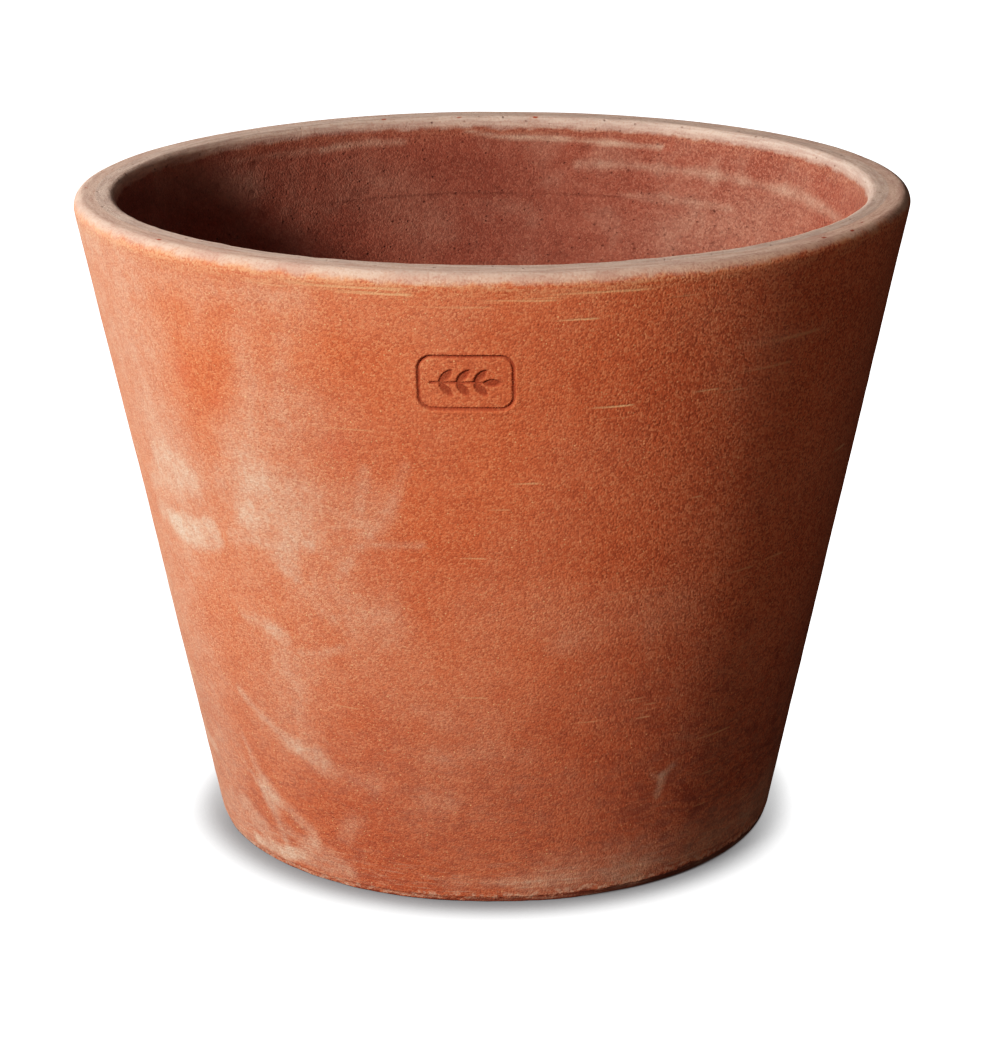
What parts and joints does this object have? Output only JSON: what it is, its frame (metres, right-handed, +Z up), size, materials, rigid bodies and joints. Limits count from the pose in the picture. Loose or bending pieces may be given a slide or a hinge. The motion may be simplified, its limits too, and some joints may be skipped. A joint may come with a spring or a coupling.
{
  "type": "plant pot",
  "caption": "Thick-walled conical garden pot in unglazed terracotta, with a flat dressed lip, an impressed maker's seal and a central drain hole.",
  "frame": {"origin": "centre of the underside, on the ground the pot stands on", "axes": "+Z up along the pot's axis, -Y towards the side with the maker's seal, +X to the right when the seal is seen from outside"},
  "size_m": [0.4, 0.4, 0.315],
  "materials": {
    "floor_clay": "unglazed, coarse, scraped",
    "wall_clay": "unglazed, grainy, with pale lime bloom",
    "rim_clay": "unglazed, sponged with pale slip"
  },
  "bodies": {
    "root": {"floor_slab": "floor_clay", "wall": "wall_clay", "rim": "rim_clay"}
  },
  "joints": []
}
